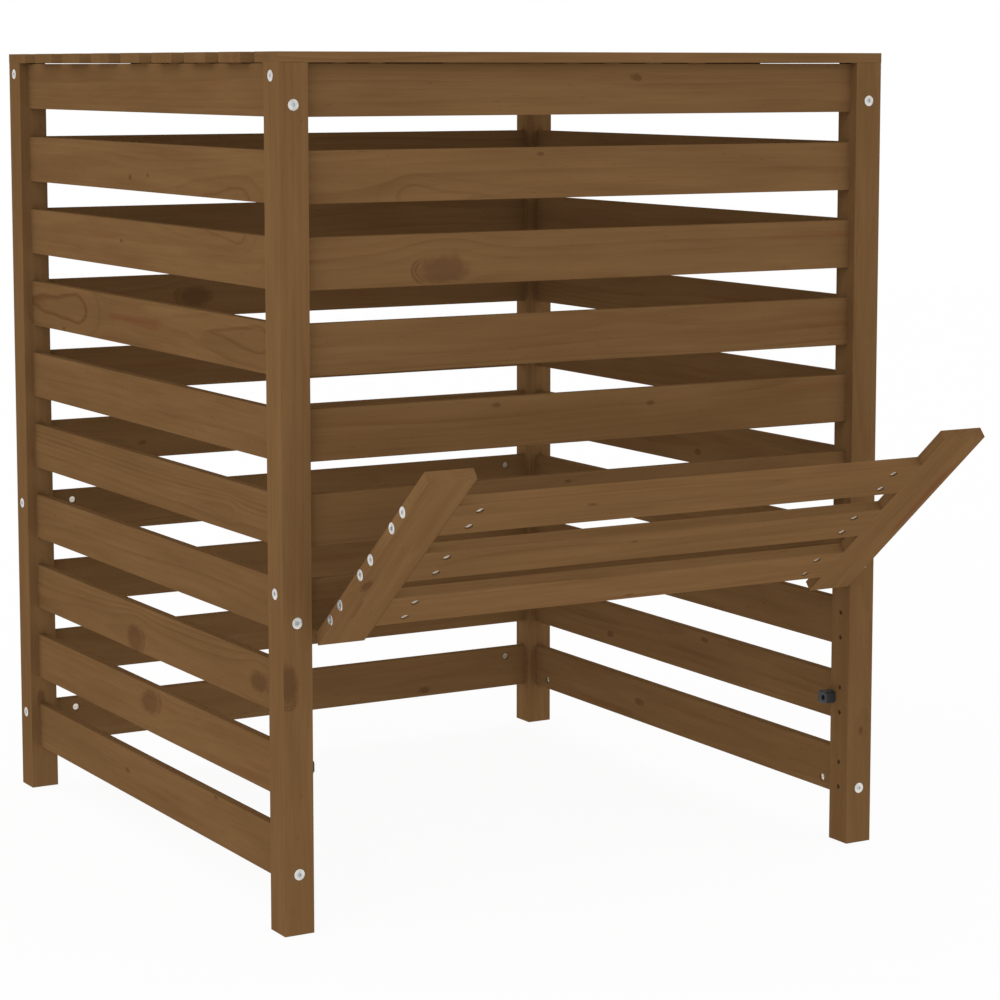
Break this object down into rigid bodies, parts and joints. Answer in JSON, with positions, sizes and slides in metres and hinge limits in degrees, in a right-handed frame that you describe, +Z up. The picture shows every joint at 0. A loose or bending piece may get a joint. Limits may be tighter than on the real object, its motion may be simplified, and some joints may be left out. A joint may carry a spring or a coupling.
{
  "type": "slatted wooden compost bin",
  "caption": "Square compost bin of stained wood slats between corner posts, with a rear-hinged slatted lid and a front flap that swings up to take compost out.",
  "frame": {"origin": "centre of the square footprint, on the ground between the four post feet", "axes": "+X to the right along the front, +Y from the front with the flap to the back, +Z up"},
  "size_m": [0.8266, 1.0931, 0.995],
  "materials": {
    "board_wood": "dark brown stained softwood, sawn and planed, matt",
    "post_wood": "dark brown stained softwood, planed, matt",
    "zinc_steel": "bright zinc plate",
    "hinge_steel": "zinc-plated steel",
    "dark_plastic": "matt dark grey plastic"
  },
  "bodies": {
    "bin": {"back_left_post": "post_wood", "back_right_post": "post_wood", "back_slat_01": "board_wood", "back_slat_02": "board_wood", "back_slat_03": "board_wood", "back_slat_04": "board_wood", "back_slat_05": "board_wood", "back_slat_06": "board_wood", "back_slat_07": "board_wood", "back_slat_08": "board_wood", "back_slat_09": "board_wood", "back_slat_10": "board_wood", "flap_hinge_pins": "hinge_steel", "flap_hinge_wall_leaves": "hinge_steel", "flap_stops": "dark_plastic", "frame_barrel_nuts": "zinc_steel", "frame_bolts": "zinc_steel", "front_left_post": "post_wood", "front_right_post": "post_wood", "front_slat_01": "board_wood", "front_slat_02": "board_wood", "front_slat_03": "board_wood", "front_slat_04": "board_wood", "front_slat_05": "board_wood", "front_slat_06": "board_wood", "front_slat_07": "board_wood", "left_slat_01": "board_wood", "left_slat_02": "board_wood", "left_slat_03": "board_wood", "left_slat_04": "board_wood", "left_slat_05": "board_wood", "left_slat_06": "board_wood", "left_slat_07": "board_wood", "left_slat_08": "board_wood", "left_slat_09": "board_wood", "left_slat_10": "board_wood", "lid_hinge_pins": "hinge_steel", "lid_hinge_post_leaves": "hinge_steel", "right_slat_01": "board_wood", "right_slat_02": "board_wood", "right_slat_03": "board_wood", "right_slat_04": "board_wood", "right_slat_05": "board_wood", "right_slat_06": "board_wood", "right_slat_07": "board_wood", "right_slat_08": "board_wood", "right_slat_09": "board_wood", "right_slat_10": "board_wood"},
    "flap": {"flap_barrel_nuts": "zinc_steel", "flap_bolts": "zinc_steel", "flap_hinge_stile_leaves": "hinge_steel", "flap_left_stile": "board_wood", "flap_right_stile": "board_wood", "flap_slat_1": "board_wood", "flap_slat_2": "board_wood", "flap_slat_3": "board_wood"},
    "lid": {"lid_boards": "board_wood", "lid_battens": "board_wood", "lid_hinge_lid_leaves": "hinge_steel"}
  },
  "joints": [
    {"name": "flap_hinge", "type": "hinge", "parent": "bin", "child": "flap", "pos_m": [0, -0.403, 0.34275], "axis": [-1, 0, 0], "range_deg": [-130, 45]},
    {"name": "lid_hinge", "type": "hinge", "parent": "bin", "child": "lid", "pos_m": [0, 0.4155, 0.983], "axis": [-1, 0, 0], "range_deg": [0, 110]}
  ]
}
